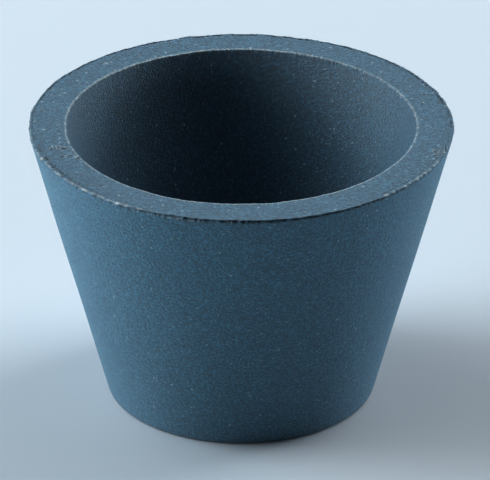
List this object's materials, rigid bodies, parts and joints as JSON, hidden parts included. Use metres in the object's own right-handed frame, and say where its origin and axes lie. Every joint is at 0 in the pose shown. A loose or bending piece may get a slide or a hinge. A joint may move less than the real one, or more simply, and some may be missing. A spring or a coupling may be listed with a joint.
{
  "type": "rubber filter cone",
  "caption": "Open, thick-walled rubber cone with flat rims that seals a filter funnel into the neck of a vacuum filter flask.",
  "frame": {"origin": "centre of the narrow end's flat rim, on the plane that the cone stands on", "axes": "+Z along the cone's axis from the narrow end to the wide end; +X and +Y are across it and are alike, since the cone is round"},
  "size_m": [0.033, 0.033, 0.0225],
  "materials": {
    "rubber": "dark blue-grey moulded rubber, matte with a faint powdery bloom, fine grain and a paler trimmed rim"
  },
  "bodies": {
    "root": {"rubber_cone": "rubber"}
  },
  "joints": []
}
